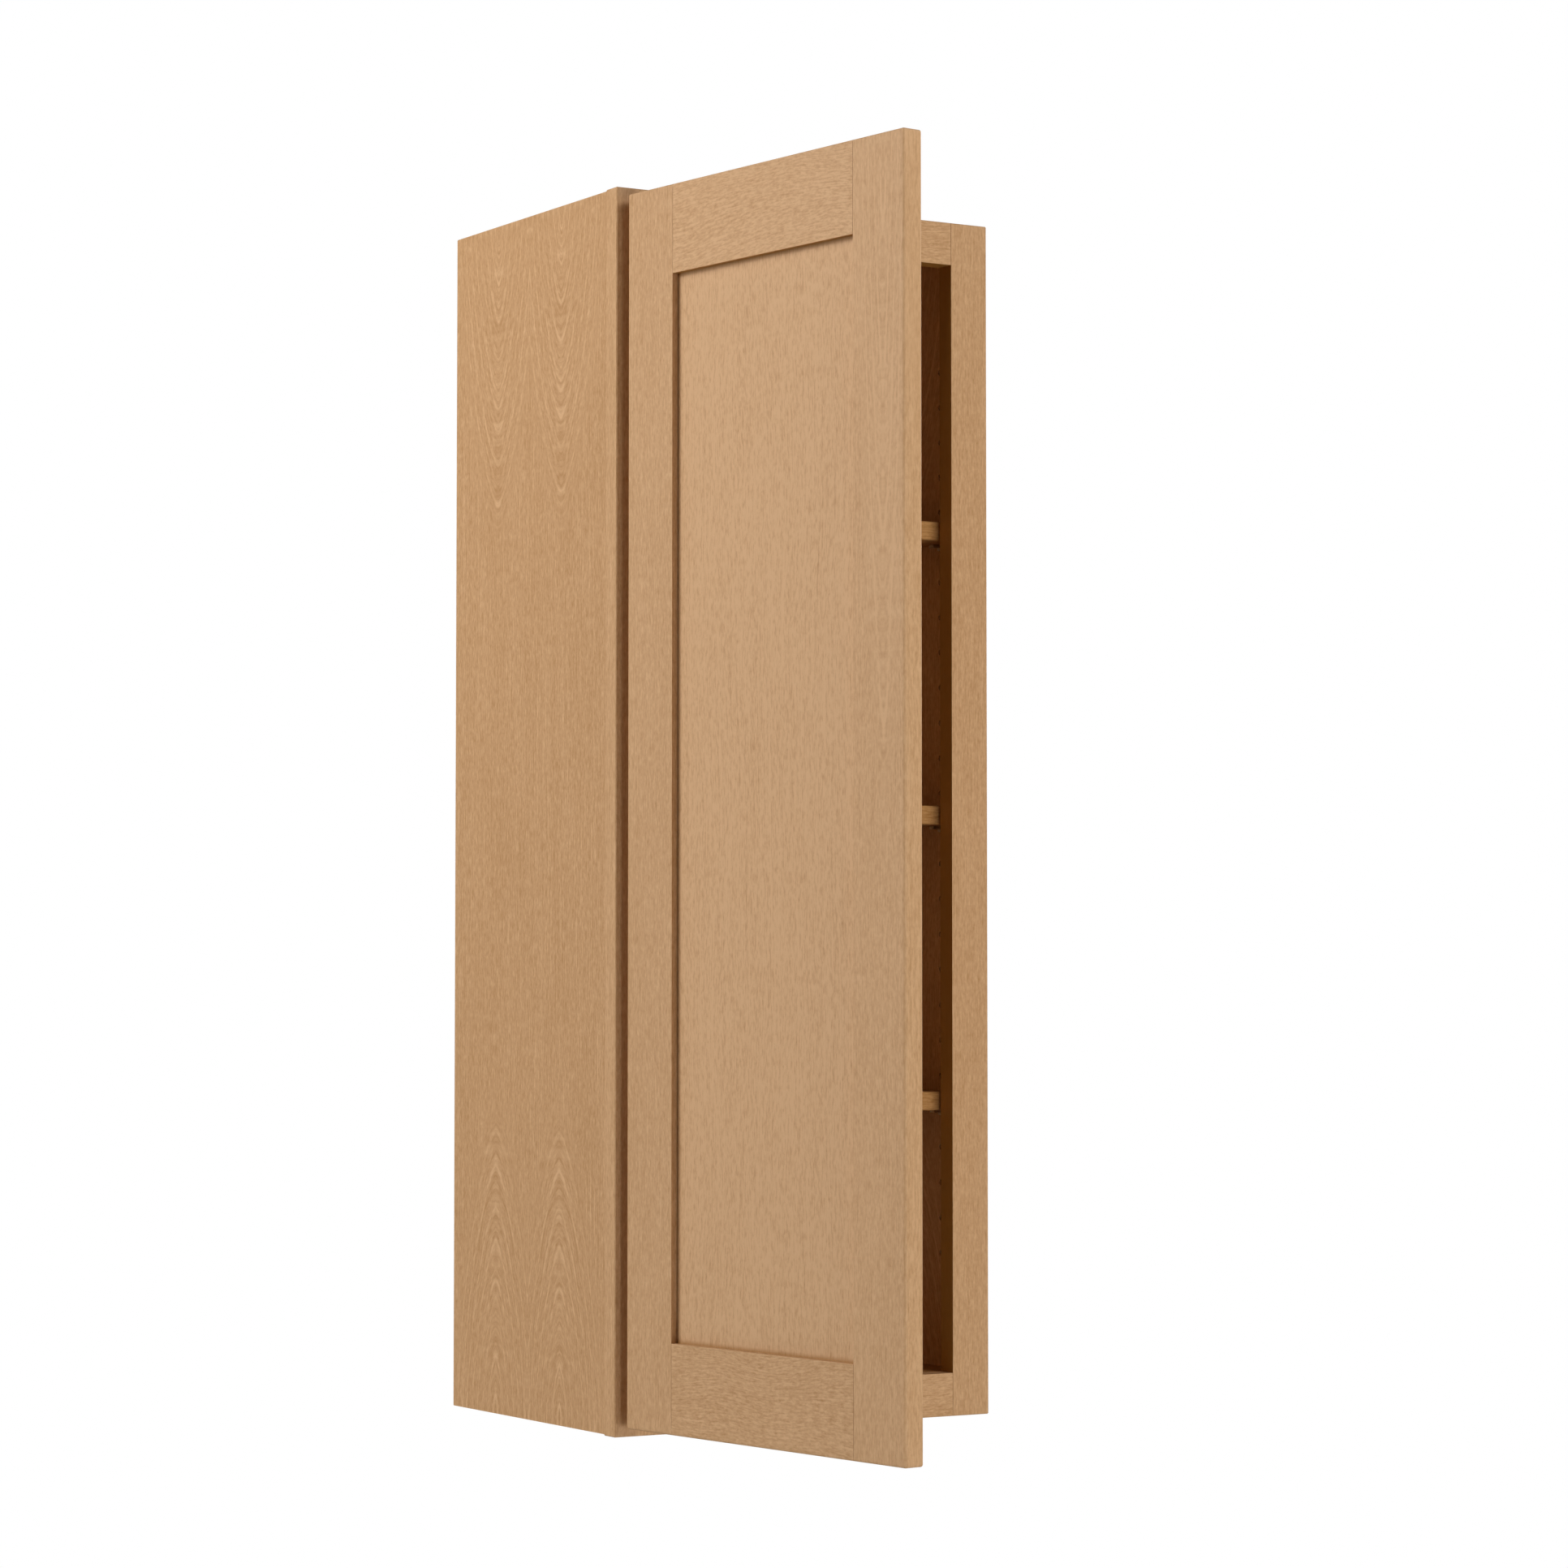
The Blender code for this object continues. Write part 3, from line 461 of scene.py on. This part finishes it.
def lathe(name, radius, height, place, outward, node, material):
    """A closed skin from rings about an axis, with both ends closed at the axis.

    radius and height are (rings, spokes) arrays from the outer pole to the inner one. A point is
    place + radius * (cos a * side + sin a * up) + height * outward, up being +Z and side the third
    axis, all in the node's own upright frame, then turned to where the door stands.
    """
    rings, around = radius.shape
    angle = np.linspace(0, 2 * math.pi, around, endpoint=False)
    outward = np.array(outward, float)
    side = np.cross(outward, (0, 0, 1.0))
    spokes = np.cos(angle)[:, None] * side + np.sin(angle)[:, None] * np.array((0, 0, 1.0))
    skin = radius[..., None] * spokes[None] + height[..., None] * outward
    poles = np.array([height[0].mean(), height[-1].mean()])[:, None] * outward
    points = np.vstack([skin.reshape(-1, 3), poles]) + np.array(place)
    here = np.arange(rings * around).reshape(rings, around)
    beside = np.roll(here, -1, axis=1)
    quads = np.stack([here[:-1], beside[:-1], beside[1:], here[1:]], -1).reshape(-1, 4)
    first = np.stack([np.full(around, rings * around), beside[0], here[0]], -1)
    last = np.stack([np.full(around, rings * around + 1), here[-1], beside[-1]], -1)
    if node.name in DOOR_NODES:
        points = points @ np.array(Matrix.Rotation(-DOOR_TURN, 3, "Z")).T
    mesh = bpy.data.meshes.new(name)
    mesh.from_pydata(points.tolist(), [], quads.tolist() + first.tolist() + last.tolist())
    mesh.shade_smooth()
    mesh.set_sharp_from_angle(angle=SHARP_EDGE)
    piece = bpy.data.objects.new(name, mesh)
    bpy.context.scene.collection.objects.link(piece)
    dress(piece, material)
    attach(piece, "door" if node.name in DOOR_NODES else "cabinet")
    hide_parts(node.name)


def widen(values, around=AROUND):
    """Each ring's one value, repeated for every spoke."""
    return np.repeat(np.asarray(values, float)[:, None], around, axis=1)


def cross_screw(name, node, outward, crown, under_head, material):
    """A cross-recessed screw: domed head, seat, and a shank with one helical thread.

    The head's top is crown * (1 - f^2) less a cross of two soft slots; the shank's radius rises by
    a triangle wave of height / pitch + angle / turn.
    """
    turn = DOOR_TURN if node.name in DOOR_NODES else 0.0
    middle, half = board_box(node, turn)
    axis = int(np.argmax(np.abs(outward)))
    length = 2 * float(half[axis])
    head_radius = float(half[2])
    place = middle + half * np.array(outward)
    angle = np.linspace(0, 2 * math.pi, AROUND, endpoint=False)

    share = np.linspace(0.05, 1, 20)
    radius = widen(share * head_radius)
    x, y = radius * np.cos(angle), radius * np.sin(angle)
    reach = head_radius * 0.62
    slots = [soft_step(CROSS_HALF_WIDTH - np.abs(one), -0.00012, 0.00012)
             * soft_step(reach - np.abs(other), -0.0001, 0.0004) for one, other in ((x, y), (y, x))]
    top = crown * -(widen(share) ** 2) - CROSS_DEPTH * np.maximum(*slots)

    seat_radius = np.array([head_radius, SCREW_SHANK_RADIUS])
    seat_height = np.array([-crown - under_head[0], -crown - under_head[1]])
    shank_top = seat_height[1]
    tip = 2 * SCREW_SHANK_RADIUS
    run = widen(np.linspace(shank_top - 0.0004, -length + tip, 44))
    thread = ridge(run / SCREW_THREAD_PITCH + angle / (2 * math.pi))
    shank = SCREW_SHANK_RADIUS - SCREW_THREAD_DEPTH * (1 - thread)
    point = np.linspace(0, 1, 5)[1:]
    point_radius = SCREW_SHANK_RADIUS * (1 - SCREW_THREAD_DEPTH / SCREW_SHANK_RADIUS) * (1 - 0.94 * point)
    point_height = -length + tip * (1 - point)
    radii = np.vstack([radius, widen(seat_radius), shank, widen(point_radius)])
    heights = np.vstack([top, widen(seat_height), run, widen(point_height)])
    lathe(name, radii, heights, place, outward, node, material)


def wing_outline(angle, body, wing, spread):
    """Distance to the outline of a disc of radius body joined by tangents to two end arcs.

    The arcs have radius wing and stand spread from the middle along Z. With a the angle from Z and
    t the tangent's own angle, it is the arc spread cos a + root(wing^2 - spread^2 sin^2 a) near Z,
    the line body / cos(a - t), and the disc beyond t.
    """
    away = np.arccos(np.clip(np.abs(np.sin(angle)), 0, 1))
    tangent = math.acos((body - wing) / spread)
    touch = math.atan2(wing * math.sin(tangent), spread + wing * math.cos(tangent))
    arc_root = np.sqrt(np.clip(wing ** 2 - (spread * np.sin(away)) ** 2, 0, None))
    arc_part = spread * np.cos(away) + arc_root
    line_part = body / np.cos(away - tangent)
    return np.where(away < touch, arc_part, np.where(away < tangent, line_part, body))


def pressed_cup(name, node, material):
    """A deep-drawn cup: rounded floor, wall, rolled rim, winged flange with two screw dimples."""
    middle, half = board_box(node, DOOR_TURN)
    flange = float(half[0])
    body = flange - CUP_FLANGE_MARGIN
    bore = body - CUP_SHEET
    floor = -2 * float(half[1]) + CUP_SHEET
    screw_out = float(half[2]) - CUP_SCREW_INSET
    place = middle + half * np.array((0, 1, 0))
    angle = np.linspace(0, 2 * math.pi, CUP_AROUND, endpoint=False)
    outline = wing_outline(angle, flange, CUP_WING_ROUND, float(half[2]) - CUP_WING_ROUND)[None]

    fillet, roll = CUP_FILLET, CUP_ROLL
    quarter = np.linspace(0, math.pi / 2, 7)
    bowl_radius = np.concatenate([np.linspace(0.05, 1, 6)[:-1] * (bore - fillet),
                                  bore - fillet * (1 - np.sin(quarter))])
    bowl_height = np.concatenate([np.full(5, floor), floor + fillet * (1 - np.cos(quarter))])
    rim_radius = bore + roll * (1 - np.cos(quarter))
    rim_height = -roll * (1 - np.sin(quarter))
    share = np.linspace(0, 1, 26)[1:, None]
    inner = bore + roll
    face_radius = inner + (outline - roll - inner) * share
    from_screw = np.hypot(face_radius * np.cos(angle), np.abs(face_radius * np.sin(angle)) - screw_out)
    face_height = -CUP_DIMPLE_DEPTH * soft_step(-from_screw, -CUP_SCREW_DIMPLE, -CUP_SCREW_DIMPLE + 0.0005)
    edge_turn = quarter[1:]
    edge_radius = outline - roll * (1 - np.sin(edge_turn))[:, None]
    edge_height = -roll * (1 - np.cos(edge_turn))
    under_radius = np.vstack([outline, widen([body, body, body - roll], CUP_AROUND)])
    under_height = np.array([-CUP_SHEET, -CUP_SHEET, floor - CUP_SHEET + roll, floor - CUP_SHEET])
    base_radius = np.linspace(1, 0.05, 5)[1:] * (body - roll)
    radii = np.vstack([widen(bowl_radius, CUP_AROUND), widen(rim_radius[1:], CUP_AROUND), face_radius,
                       edge_radius, under_radius, widen(base_radius, CUP_AROUND)])
    heights = np.vstack([widen(bowl_height, CUP_AROUND), widen(rim_height[1:], CUP_AROUND), face_height,
                         widen(edge_height, CUP_AROUND), widen(under_height, CUP_AROUND),
                         widen(np.full(4, floor - CUP_SHEET), CUP_AROUND)])
    lathe(name, radii, heights, place, (0, 1, 0), node, material)


def domed_bumper(name, node, material):
    """A stuck-on bumper: an upright skirt under a dome of height t * root(1 - f^p)."""
    middle, half = board_box(node, DOOR_TURN)
    tall, wide = 2 * float(half[1]), float(half[0])
    place = middle + half * np.array((0, 1, 0))
    share = np.sin(np.linspace(0.06, 1, 18) * math.pi / 2)
    fall = np.sqrt(np.clip(1 - share ** BUMPER_ROUNDNESS, 0, None)) - 1
    dome = tall * BUMPER_DOME_SHARE * fall
    radii = np.concatenate([share * wide, [wide, wide * 0.97, wide * 0.5, wide * 0.05]])
    heights = np.concatenate([dome, [-tall * 0.96, -tall, -tall, -tall]])
    lathe(name, widen(radii), widen(heights), place, (0, 1, 0), node, material)


for number in (1, 2, 3):
    hinge = f"hinge_{number}_"
    cross_screw(f"arm_screw_{number}", NODES[hinge + "arm_screw"], (1, 0, 0), ARM_SCREW_CROWN,
                ARM_SCREW_SEAT, steel)
    pressed_cup(f"pressed_cup_{number}", NODES[hinge + "cup"], steel)
    for level in ("upper", "lower"):
        cross_screw(f"cup_screw_{level}_{number}", NODES[hinge + "cup_screw_" + level], (0, 1, 0),
                    CUP_SCREW_CROWN, CUP_SCREW_SEAT, steel)
for end in ("top", "bottom"):
    domed_bumper(f"domed_bumper_{end}", NODES["bumper_" + end], rubber)


# ---- Studio ----
FLOOR_BELOW = 1.37  # a wall cabinet's usual height over the floor
FLOOR_REACH = 4.5
FLOOR_GLOW = 0.72
FLOOR_TURNS = 96
FLOOR_RINGS = 8
FLOOR_LIGHT = (0.84, 0.84, 0.83)
FLOOR_DARK = (0.78, 0.78, 0.77)


def area_light(name, place, target, size, power):
    """A square soft light aimed at the target."""
    data = bpy.data.lights.new(name, "AREA")
    data.shape = "RECTANGLE"
    data.size = size
    data.size_y = size
    data.energy = power
    lamp = bpy.data.objects.new(name, data)
    lamp.location = place
    lamp.rotation_euler = (Vector(target) - Vector(place)).to_track_quat("-Z", "Y").to_euler()
    bpy.context.scene.collection.objects.link(lamp)


def pale_floor(height, reach):
    """A round floor sheet, flat rings at one height, that shows paler than it is lit."""
    turns, rings = FLOOR_TURNS, FLOOR_RINGS
    angle = np.linspace(0, 2 * math.pi, turns, endpoint=False)
    radius = np.linspace(reach / rings, reach, rings)
    ring, spoke = np.meshgrid(radius, angle, indexing="ij")
    points = np.stack([ring * np.cos(spoke), ring * np.sin(spoke), np.full_like(ring, height)], -1)
    here = np.arange(rings * turns).reshape(rings, turns)
    beside = np.roll(here, -1, axis=1)
    quads = np.stack([here[:-1], here[1:], beside[1:], beside[:-1]], -1).reshape(-1, 4)
    mesh = bpy.data.meshes.new("floor")
    mesh.from_pydata(points.reshape(-1, 3).tolist(), [], quads.tolist() + [here[0].tolist()])
    floor = bpy.data.objects.new("floor", mesh)
    bpy.context.scene.collection.objects.link(floor)
    tree = Tree("pale_floor")
    grain = tree.noise(tree.coordinates("Object"), 40.0, 4.0)
    tree.finish(tree.mix(grain, FLOOR_DARK, FLOOR_LIGHT), 0.6)
    glow = tree.nodes.new("ShaderNodeEmission")
    blend = tree.nodes.new("ShaderNodeMixShader")
    seen_directly = tree.nodes.new("ShaderNodeLightPath").outputs["Is Camera Ray"]
    tree.links.new(tree.times(seen_directly, FLOOR_GLOW), blend.inputs[0])
    tree.links.new(tree.shader.outputs[0], blend.inputs[1])
    tree.links.new(glow.outputs[0], blend.inputs[2])
    tree.links.new(blend.outputs[0], tree.nodes["Material Output"].inputs["Surface"])
    dress(floor, tree.material)


middle = (cad_low + cad_high) / 2
pale_floor(cad_low.z - FLOOR_BELOW, FLOOR_REACH)
AMBIENT = 0.06  # strength of the surroundings as they light the cabinet
REFLECTED = 0.45  # their strength as the steel and lacquer mirror them
LIGHTS_AIM = (0.0, -0.35, middle.z)
LIGHTS = (
    ("left_rear_key", (-4.0, 1.2, 1.2), 2.5, 72),
    ("left_rear_low_fill", (-3.6, 1.6, -0.8), 2.2, 32),
    ("left_near_top", (-1.9, 0.1, 1.1), 1.2, 22),
    ("front_low_fill", (0.6, -4.0, -1.6), 2.0, 66),
    ("front_near_top", (0.7, -2.2, 1.1), 1.0, 23),
    ("right_rear_fill", (3.6, 0.9, 0.9), 2.4, 48),
)
for light_name, place, size, power in LIGHTS:
    area_light(light_name, place, LIGHTS_AIM, size, power)

world = bpy.data.worlds.new("studio")
bpy.context.scene.world = world
world.use_nodes = True
sky = world.node_tree
seen = sky.nodes.new("ShaderNodeLightPath")
in_gloss = sky.nodes.new("ShaderNodeMapRange")
strength = sky.nodes.new("ShaderNodeMath")
strength.operation = "MAXIMUM"
in_gloss.inputs["To Min"].default_value = AMBIENT
in_gloss.inputs["To Max"].default_value = REFLECTED
sky.links.new(seen.outputs["Is Glossy Ray"], in_gloss.inputs["Value"])
sky.links.new(in_gloss.outputs[0], strength.inputs[0])
sky.links.new(seen.outputs["Is Camera Ray"], strength.inputs[1])
sky.nodes["Background"].inputs["Color"].default_value = (1, 1, 1, 1)
sky.links.new(strength.outputs[0], sky.nodes["Background"].inputs["Strength"])
bpy.context.scene.view_settings.view_transform = "Standard"

# ---- Camera: in front of the cabinet and to its left ----
CAMERA_PLACE = (-1.9356, -3.4719, -0.6239)
CAMERA_PITCH = 2.583
CAMERA_YAW = -31.127
LENS = 97.45
SENSOR_WIDTH = 36.0
camera_data = bpy.data.cameras.new("camera")
camera_data.lens = LENS
camera_data.sensor_width = SENSOR_WIDTH
camera = bpy.data.objects.new("camera", camera_data)
camera.location = CAMERA_PLACE
camera.rotation_euler = (math.radians(90 + CAMERA_PITCH), 0, math.radians(CAMERA_YAW))
bpy.context.scene.collection.objects.link(camera)
bpy.context.scene.camera = camera
